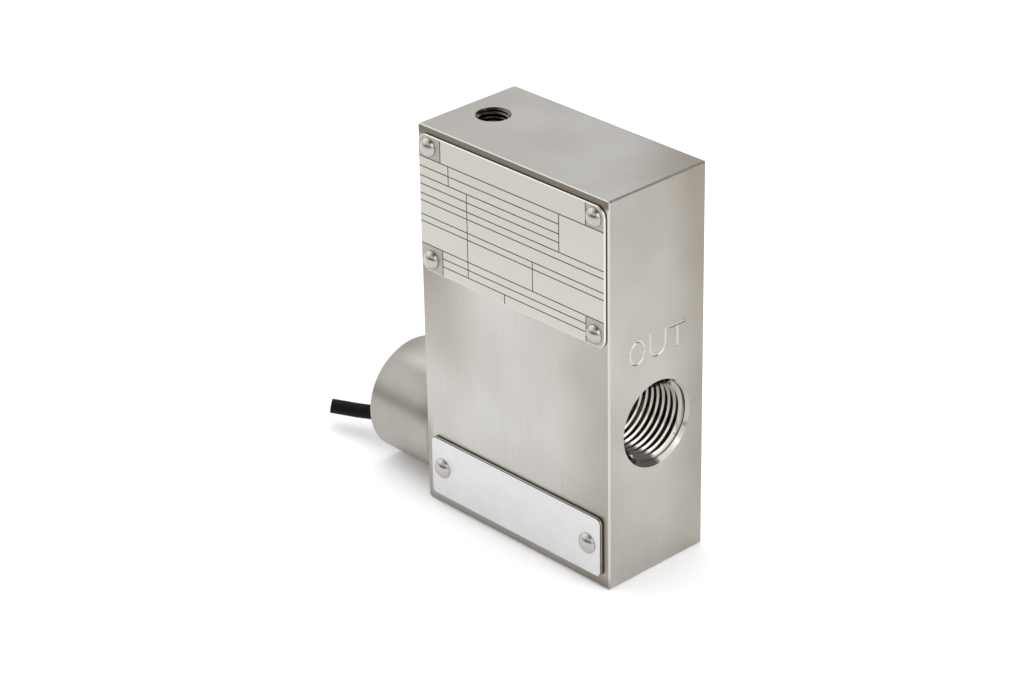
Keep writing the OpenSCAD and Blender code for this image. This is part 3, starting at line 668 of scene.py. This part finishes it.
# The lower plate's edge from front to back: a dark burr, a milled bright band, dark tape
finish_burr = plain("aluminium_edge_burred", "#453f38", 1.0, 0.4, 0.15, 0.01)
finish_milled = plain("aluminium_edge_milled", "#c9c5bd", 1.0, 0.3, 0.2, 0.006)
finish_glue = plain("acrylic_foam_tape_cut", "#2b2825", 0.0, 0.7, 0.2, 0.02)
# Cast black epoxy: glossy, with slow waves
finish_epoxy = plain("epoxy_potting_cast", "#101012", 0.0, 0.16, 1.6, 0.05)
# Moulded nitrile: black and dull
finish_rubber = plain("nitrile_rubber_moulded", "#1a1a1b", 0.0, 0.62, 0.3, 0.01)
# Turned fluoropolymer: waxy white
finish_ptfe = plain("ptfe_turned", "#e9e7e0", 0.0, 0.42, 0.4, 0.01)
# Drawn spring wire: a cool, even shine
finish_spring = plain("stainless_spring_wire_drawn", "#b4b6b8", 1.0, 0.24, 0.2, 0.004)
# Sintered ferrite: dark grey and stony
finish_magnet = plain("ferrite_magnet_sintered", "#3a3a3d", 0.0, 0.55, 0.2, 0.01)
# Turned brass: yellow and bright
finish_brass = plain("brass_turned", "#c9a45a", 1.0, 0.26, 0.25, 0.006)
# Stamped nickel iron: a warm grey shine
finish_alloy = plain("nickel_iron_reed_alloy", "#b9b2a4", 1.0, 0.3, 0.2, 0.003)
# Extruded insulation of the two leads: smooth red and blue
finish_red = plain("ptfe_insulation_red", "#8c2f26", 0.0, 0.38, 0.3, 0.005)
finish_blue = plain("ptfe_insulation_blue", "#2d4468", 0.0, 0.38, 0.3, 0.005)
# Cut copper strand: a reddish shine
finish_copper = plain("copper_strand_cut", "#c6805a", 1.0, 0.3, 0.15, 0.01)
# Drawn reed glass: clear, with the green tint of its iron
finish_glass = plain("soda_glass_drawn_green", "#a9d3ba", 0.0, 0.05, 0.5, 0.001,
                     Transmission_Weight=1.0, IOR=1.5)


# ---------------------------------------------------------------- cable


def add_cable():
    """The cable's jacket as a smooth tube along its route, snipped at its far end."""
    points = [Vector(p) * mm for p in cable_route]
    cable = tube("cable_jacket", points, cable_d / 2, 10, "BEZIER")
    # The snips met the cable at a slant, so that its end looks straight from the front
    along = (points[-1] - points[-2]).normalized()
    view = camera_at.normalized()
    facing = (along - view * along.dot(view)).normalized()
    slant = math.tan(along.angle(facing))
    snip = points[-1] - along * (slant * cable_d / 2 * mm)
    edit(cable, lambda: bpy.ops.mesh.bisect(plane_co=snip, plane_no=facing, use_fill=True,
                                            clear_outer=True, threshold=close))
    outwards(cable)
    smooth(cable, 40)
    cores = add_cable_cores(snip, facing)
    dress(cable, "housing", ["cable"], "cable_jacket", finish_jacket)


def add_cable_cores(end, facing):
    """Two insulated cores and their copper, seen as discs in the cable's cut end."""
    side = facing.cross(Vector((0, 0, 1))).normalized()
    turn = facing.to_track_quat("Z", "Y").to_matrix().to_4x4()
    disc_t, disc_edge, sunk = 0.5, 0.03, 0.2
    cores = []
    for sign, insulation in ((-1, finish_red), (1, finish_blue)):
        for radius, rise, finish, slot in ((core_r, 0.0, insulation, "wire_insulation"),
                                           (conductor_r, 0.03, finish_copper, "reed_alloy")):
            bpy.ops.mesh.primitive_cylinder_add(vertices=32, radius=radius * mm,
                                                depth=disc_t * mm)
            core = new_piece(f"cable_core_{len(cores) + 1}")
            edit(core, lambda: bpy.ops.mesh.bevel(offset=disc_edge * mm, segments=1))
            at = end + side * (sign * core_apart * mm) + facing * ((rise - sunk) * mm)
            place(core, Matrix.Translation(at) @ turn)
            smooth(core)
            core.data.materials.append(finish)
            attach(core, "housing")
            cores.append(core)
    return cores


add_cable()


# ---------------------------------------------------------------- studio


# The sky's brightness: shares added to 1, each with the patches of sky that it fills. A
# patch is where all its fades meet, and each runs along the direction's X, Y or Z from 0 at
# its first value to 1 at its second
sky_shares = (
    # Dark behind the bright wall, and overhead towards the right
    (-0.8, ((("Y", 0.5, 0.62), ("X", -0.3, 0.1)), (("Z", 0.5, 0.72), ("X", -0.4, 0.15)))),
    # The bright wall at the right, less bright low down
    (1.5, ((("X", 0.4, 0.58), ("Y", 0.55, 0.45), ("Z", 0.42, 0.5), ("Z", 0.88, 0.78)),)),
    (0.6, ((("X", 0.4, 0.58), ("Y", 0.55, 0.45), ("Z", 0.08, 0.14), ("Z", 0.5, 0.42)),)),
    # Greyer low at the front, where the photographer stands
    (-0.3, ((("Y", -0.35, -0.65), ("Z", 0.5, 0.2)),)),
    (-0.45, ((("Y", -0.65, -0.9), ("Z", 0.4, 0.25)),)),
    # A pale panel at the left
    (0.5, ((("X", -0.35, -0.55), ("Y", 0.35, 0.1), ("Z", 0.06, 0.24)),)),
)


def add_studio():
    """A white table under the soft sky, and a wide lamp overhead that lights only the table."""
    bpy.ops.mesh.primitive_plane_add(size=6)
    floor = new_piece("studio_floor")
    paper = new_material("studio_paper", "#f4f4f4", 0.0, 0.9,
                         Emission_Color=(1, 1, 1, 1), Emission_Strength=0.08)[0]
    floor.data.materials.append(paper)
    sky = bpy.data.worlds.new("studio_sky")
    scene.world = sky
    sky.use_nodes = True
    tree = sky.node_tree
    at = add_node(tree, "TexCoord", "Generated")
    way = add_node(tree, "SeparateXYZ", "Z", Vector=at).node.outputs

    total = 1.0
    for share, patches in sky_shares:
        filled = 0.0
        for fades in patches:
            patch = 1.0
            for along, low, high in fades:
                faded = add_node(tree, "MapRange", "Result", smoothly, Value=way[along],
                                 From_Min=low, From_Max=high)
                patch = add_node(tree, "Math", "Value", times, _0=patch, _1=faded)
            filled = add_node(tree, "Math", "Value", greatest, _0=filled, _1=patch)
        total = add_node(tree, "Math", "Value", {"operation": "MULTIPLY_ADD"},
                         _0=filled, _1=share, _2=total)
    bright = add_node(tree, "Math", "Value", greatest, _0=total, _1=0.1)
    tree.nodes["Background"].inputs["Color"].default_value = linear("#ffffff")
    tree.links.new(bright, tree.nodes["Background"].inputs["Strength"])
    bpy.ops.object.light_add(type="AREA", location=(0.1, 0.15, 1.2))
    lamp = bpy.context.active_object
    lamp.name = "table_lamp"
    lamp.data.size = 1.4
    lamp.data.energy = 10
    lamp.visible_glossy = False
    scene.view_settings.view_transform = "Standard"


add_studio()


# ---------------------------------------------------------------- threads and stamping


def thread_cutter(crest_r, pitch, length, steps=128, lead=0.5):
    """The waste of a tapped bore, along +Z from its mouth at the origin: a threaded plug.

    The profile has 60 degree flanks, and crests and roots that are a little rounded. It
    starts lead millimetres outside the mouth.
    """
    land, edge, rise = 0.0165 * pitch, 0.044 * pitch, 0.011 * pitch
    shoulder, shoulder_rise = 0.077 * pitch, 0.044 * pitch
    flank = pitch / 2 - land - shoulder
    depth = shoulder_rise + flank / math.tan(math.radians(30))
    half = [(0, land), (rise, edge), (shoulder_rise, shoulder), (depth, pitch / 2 - land)]
    outline = [(crest_r, 0)] + [(crest_r + r, z) for r, z in half]
    outline += [(crest_r + r, pitch - z) for r, z in reversed(half)] + [(crest_r, pitch)]
    bpy.ops.mesh.primitive_grid_add(x_subdivisions=len(outline) - 1, y_subdivisions=1,
                                    size=mm)
    cutter = new_piece("thread_cutter")
    edit(cutter, lambda: bpy.ops.mesh.delete(type="VERT"), lambda vertex: vertex.co.y > 0)
    corners = sorted(cutter.data.vertices, key=lambda vertex: vertex.co.x)
    for corner, (r, z) in zip(corners, outline):
        corner.co = (r * mm, 0, (z - lead - pitch) * mm)
    sweep_round(cutter, pitch, math.ceil((length + lead) / pitch) + 2, steps)
    outwards(cutter)

    def square_ends():
        bpy.ops.mesh.bisect(plane_co=(0, 0, -lead * mm), plane_no=(0, 0, 1),
                            use_fill=True, clear_inner=True, threshold=close)
        bpy.ops.mesh.select_all(action="SELECT")
        bpy.ops.mesh.bisect(plane_co=(0, 0, length * mm), plane_no=(0, 0, 1),
                            use_fill=True, clear_outer=True, threshold=close)

    edit(cutter, square_ends)
    outwards(cutter)
    return cutter


def mouth_cutter(mouth_r, crest_r, steps=128, over=0.3):
    """The waste of a mouth's 45 degree bevel, along +Z from the origin."""
    inside = 0.2
    depth = mouth_r - crest_r + inside + over
    bpy.ops.mesh.primitive_cone_add(vertices=steps, radius1=(mouth_r + over) * mm,
                                    radius2=(crest_r - inside) * mm, depth=depth * mm)
    cutter = new_piece("mouth_cutter")
    place(cutter, Matrix.Translation((0, 0, (depth / 2 - over) * mm)))
    return cutter


def tap(piece, matrix, crest_r, mouth_r, pitch, length, finishes, steps=128):
    """Cuts a mouth's bevel and its thread into a piece, where the matrix puts them."""
    # The cutters stand slightly outside the solid's own bore, so that none of it is left
    outside = 0.02
    mouth = mouth_cutter(mouth_r + outside / 2, crest_r, steps)
    mouth.data.materials.append(finishes[0])
    place(mouth, matrix)
    cut(piece, mouth)
    plug = thread_cutter(crest_r + outside, pitch, length, steps)
    plug.data.materials.append(finishes[1])
    place(plug, matrix)
    cut(piece, plug)


def stroke_cutter(points, width=0.76, depth=0.18):
    """The waste of one punched stroke: a shallow round-bottomed groove along the points."""
    radius = (width ** 2 / 4 + depth ** 2) / (2 * depth)
    outside = Vector((radius - depth, 0, 0))
    stroke = tube("stroke", [(Vector(point) + outside) * mm for point in points], radius, 12,
                  "POLY")
    stroke.data.materials.clear()
    stroke.data.materials.append(finish_struck)
    return stroke


def arc(centre_y, centre_z, half_w, half_h, start, stop, steps=28):
    """Points round an oval on the outlet face."""
    angles = [math.radians(start + (stop - start) * i / steps) for i in range(steps + 1)]
    return [(outlet_x, centre_y + half_w * math.cos(a), centre_z + half_h * math.sin(a))
            for a in angles]


def stamp_out(block):
    """OUT, punched by hand into the outlet face above the port: each letter a bit askew."""
    for start in (0, 180):
        cut(block, stroke_cutter(arc(front_y + 9.2, 60.3, 2.4, 2.85, start, start + 180)))
    left, right, low, high = front_y + 13.4, front_y + 18.5, 57.4, 63.5
    bowl = arc((left + right) / 2, low + 2.55, 2.55, 2.55, 180, 360, 24)
    cut(block, stroke_cutter([(outlet_x, left, high)] + bowl + [(outlet_x, right, high)]))
    left, right, low, high = front_y + 20.0, front_y + 25.3, 57.2, 63.0
    stem = (left + right) / 2 - 0.1
    cut(block, stroke_cutter([(outlet_x, left, high), (outlet_x, right, high)]))
    cut(block, stroke_cutter([(outlet_x, stem, high - 0.35), (outlet_x, stem, low)]))


to_outlet = Matrix.Translation((outlet_x * mm, 0, outlet_z * mm)) @ Matrix.Rotation(
    math.radians(-90), 4, "Y")
to_hub_mouth = Matrix.Translation((hub_mouth_x * mm, 0, hub_z * mm)) @ Matrix.Rotation(
    math.radians(90), 4, "Y")
to_channel = Matrix.Translation((channel_x * mm, 0, block_h * mm)) @ Matrix.Rotation(
    math.radians(180), 4, "X")


def in_bore(face):
    """True for a face of the block inside one of its ports, its chamber or its channel."""
    x, y, z = (v / mm for v in face.center)
    clear, above_chamber = 0.01, 95
    port_r = port_mouth_r - 2 * clear
    inlet = math.hypot(x, y) < port_r and clear < z < above_chamber
    outlet = math.hypot(y, z - outlet_z) < port_r and 0 < x < outlet_x - clear
    channel = math.hypot(x - channel_x, y) < channel_mouth_r and z < block_h - clear
    return inlet or outlet or channel


def on_a_side(face):
    """True for a face of the block in one of its six flat sides."""
    sides = zip(face.normal, face.center, (end_x, front_y, 0), (outlet_x, -front_y, block_h))
    return any(abs(normal) > 0.9999 and min(abs(at - low * mm), abs(at - high * mm)) < close
               for normal, at, low, high in sides)


def add_block():
    """The block: its ports and channel threaded, and OUT punched over the outlet."""
    block = copy_of_node("body_block", "block")
    block.data.materials.clear()
    block.data.materials.append(finish_ground)
    tap(block, Matrix.Identity(4), pipe_crest_r, port_mouth_r, pipe_pitch, port_thread_l,
        (finish_bevel, finish_inlet), 96)
    tap(block, to_outlet, pipe_crest_r, port_mouth_r, pipe_pitch, port_thread_l,
        (finish_bevel, finish_outlet), 160)
    tap(block, to_channel, channel_crest_r, channel_mouth_r, channel_pitch, channel_thread_l,
        (finish_channel, finish_channel), 96)
    stamp_out(block)
    smooth(block, 35)
    for face in block.data.polygons:
        if on_a_side(face):
            face.use_smooth = False
    dress(block, "housing", ["body_block"], "block_steel")
    block.data.materials.append(finish_bored)
    bored = len(block.data.materials) - 1
    for face in block.data.polygons:
        if in_bore(face) and face.material_index == 0:
            face.material_index = bored


add_block()


def add_hub():
    """The conduit hub with its threaded mouth, and the weld bead at its root."""
    hub = copy_of_node("conduit_hub", "threaded_hub")
    hub.data.materials.clear()
    hub.data.materials.append(finish_hub)
    tap(hub, to_hub_mouth, pipe_crest_r, hub_mouth_r, pipe_pitch, hub_thread_l - 0.5,
        (finish_bevel, finish_mouth), 96)
    smooth(hub, 35)
    dress(hub, "housing", ["conduit_hub"], "hub_steel")
    hub.data.materials.append(finish_bored)
    bored = len(hub.data.materials) - 1
    for face in hub.data.polygons:
        x, y, z = (v / mm for v in face.center)
        in_mouth = math.hypot(y, z - hub_z) < hub_mouth_r and x > hub_mouth_x + 0.01
        if in_mouth and face.material_index == 0:
            face.material_index = bored
    bead = copy_of_node("hub_weld", "weld_bead")
    smooth(bead, 60)
    dress(bead, "housing", ["hub_weld"], "weld_steel", finish_weld)


add_hub()


# ---------------------------------------------------------------- plates and drive screws


def add_plate(name, node, slot, outline, rim, *finishes):
    """A plate with rounded corners and a rolled rim.

    Finishes are its face, its rim, the front band of its edge and the dark one behind it.
    """
    left, width, low, height, thickness, corner_r = outline
    bpy.ops.mesh.primitive_cube_add(size=1)
    plate = new_piece(name)
    plate.scale = (width * mm, thickness * mm, height * mm)
    place(plate, Matrix.Translation(((left + width / 2) * mm, (front_y - thickness / 2) * mm,
                                     (low + height / 2) * mm)))

    face_y = (front_y - thickness) * mm

    def at_corner(edge):
        a, b = edge_ends(plate.data, edge)
        return abs(a.y - b.y) > 0.1 * mm

    def round_face(edge):
        return all(abs(end.y - face_y) < 0.001 * mm for end in edge_ends(plate.data, edge))

    edit(plate, lambda: bpy.ops.mesh.bevel(offset=corner_r * mm, segments=10),
         at_corner, "edges")
    edit(plate, lambda: bpy.ops.mesh.bevel(offset=rim * mm, segments=4), round_face, "edges")
    band_y = (front_y - 0.4 * thickness) * mm
    edit(plate, lambda: bpy.ops.mesh.bisect(plane_co=(0, band_y, 0), plane_no=(0, 1, 0),
                                            threshold=close))
    smooth(plate, 40)
    dress(plate, "housing", [node], slot, *finishes)
    for face in plate.data.polygons:
        facing = -face.normal.y
        in_front = face.center.y < band_y
        face.material_index = (0 if facing > 0.99 else 1 if facing > 0.05
                               else 2 if in_front else 3)


add_plate("ruled_plate", "rating_plate", "plate_metal", rating_plate, 0.3,
          finish_printed, finish_rolled, finish_sheared, finish_sheared)
add_plate("plain_plate", "lower_plate", "white_plate", lower_plate, 0.12,
          finish_lacquer, finish_burr, finish_milled, finish_glue)


def drive_screw(head_r):
    """One drive screw, head upwards, with the underside of its head at the origin."""
    dome_h = screw_head_h - screw_rim_h
    dome_r = (head_r ** 2 + dome_h ** 2) / (2 * dome_h)
    bpy.ops.mesh.primitive_uv_sphere_add(segments=64, ring_count=96, radius=dome_r * mm)
    screw = new_piece("drive_screw")
    rim = (dome_r - dome_h) * mm

    def keep_cap():
        bpy.ops.mesh.bisect(plane_co=(0, 0, rim), plane_no=(0, 0, 1), clear_inner=True,
                            threshold=close)

    def rim_and_shank():
        bpy.ops.mesh.extrude_region_move(
            TRANSFORM_OT_translate={"value": (0, 0, -screw_rim_h * mm)})
        bpy.ops.mesh.extrude_region_move(TRANSFORM_OT_translate={"value": (0, 0, 0)})
        share = screw_shank_r / head_r
        bpy.ops.transform.resize(value=(share, share, 1))
        bpy.ops.mesh.extrude_region_move(
            TRANSFORM_OT_translate={"value": (0, 0, -screw_shank_l * mm)})
        bpy.ops.mesh.edge_face_add()

    edit(screw, keep_cap)
    edit(screw, rim_and_shank, lambda vertex: abs(vertex.co.z - rim) < 0.002 * mm)
    place(screw, Matrix.Translation((0, 0, (screw_rim_h - (dome_r - dome_h)) * mm)))
    outwards(screw)
    smooth(screw, 40)
    return screw


def add_screws(name, node, points, head_r, plate_t):
    """A drive screw at each point of a plate."""
    first = drive_screw(head_r)
    copies = [first]
    for _ in points[1:]:
        again = first.copy()
        again.data = first.data.copy()
        scene.collection.objects.link(again)
        copies.append(again)
    for screw, (x, z) in zip(copies, points):
        place(screw, Matrix.Translation((x * mm, (front_y - plate_t) * mm, z * mm))
              @ Matrix.Rotation(math.radians(90), 4, "X"))
    screws = join(name, copies)
    dress(screws, "housing", [node], "drive_screw_steel", finish_polished)


add_screws("rating_drive_screws", "rating_plate_screws", rating_screws, rating_head_r,
           rating_plate[4])
add_screws("lower_drive_screws", "lower_plate_screws", lower_screws, lower_head_r,
           lower_plate[4])


# ---------------------------------------------------------------- inner pieces


def add_inner(node, name, body, slot, *finishes):
    """An inner piece as turned or pressed: its solid with its round faces shaded smooth."""
    piece = copy_of_node(node, name)
    smooth(piece)
    return dress(piece, body, [node], slot, *finishes)


add_inner("potting", "potting_fill", "housing", "potting_epoxy", finish_epoxy)
add_inner("seat_ring", "seat_ring_turned", "housing", "turned_steel", finish_turned)
add_inner("seat_o_ring", "seat_seal", "housing", "seal_rubber", finish_rubber)
add_inner("seat_snap_ring", "snap_ring_stamped", "housing", "spring_steel", finish_spring)
add_inner("piston", "piston_turned", "piston", "turned_steel", finish_turned)
add_inner("glide_rings", "glide_rings_split", "piston", "ptfe", finish_ptfe)
add_inner("piston_magnet", "magnet_disc", "piston", "magnet", finish_magnet)
add_inner("magnet_cap", "magnet_cap_turned", "piston", "turned_steel", finish_turned)
add_inner("reed_carrier", "carrier_rod", "reed_carrier", "carrier_brass", finish_brass)
add_inner("reed_glass", "reed_tube", "reed_carrier", "reed_glass", finish_glass)
add_inner("reed_blades", "reed_contacts", "reed_carrier", "reed_alloy", finish_alloy)
add_inner("adjusting_screw", "slotted_screw", "adjuster", "turned_steel", finish_turned)
add_inner("swivel_clip", "clip_ring", "adjuster", "spring_steel", finish_spring)
wires = add_inner("lead_wires", "reed_wires", None, "wire_insulation", finish_red)
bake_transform(wires)


def add_spring():
    """The return spring at one length: a round wire with closed end turns, which the piston
    shortens in the switch.
    """
    coil_r, wire_r, turns, closed_pitch = 5.0, 0.45, 14, 1.35
    base, top, solid_base = 44.08, 85.97, 44.05
    wire_sides, steps = 20, 32
    bpy.ops.mesh.primitive_circle_add(vertices=wire_sides, radius=wire_r * mm)
    spring = new_piece("coil_spring")
    place(spring, Matrix.Translation((coil_r * mm, 0, 0))
          @ Matrix.Rotation(math.radians(90), 4, "X"))
    sweep_round(spring, 1.0, turns, steps)
    # The sweep rises 1 mm a turn. Each ring of it is moved to where its own turn puts it
    rise = top - base - 2 * wire_r
    open_pitch = (rise - 2 * closed_pitch) / (turns - 2)
    for index, corner in enumerate(spring.data.vertices):
        turn = (index // wire_sides) / steps
        low, high = min(turn, 1), max(turn - turns + 1, 0)
        lift = (low + high) * closed_pitch + (turn - low - high) * open_pitch
        corner.co.z += (base + wire_r + lift - turn) * mm

    def close_ends():
        bpy.ops.mesh.select_all(action="DESELECT")
        bpy.ops.mesh.select_non_manifold()
        bpy.ops.mesh.fill_holes(sides=0)

    edit(spring, close_ends)
    outwards(spring)
    smooth(spring, 50)
    dress(spring, "housing", ["return_spring"], "spring_steel", finish_spring)
    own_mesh(spring)


add_spring()
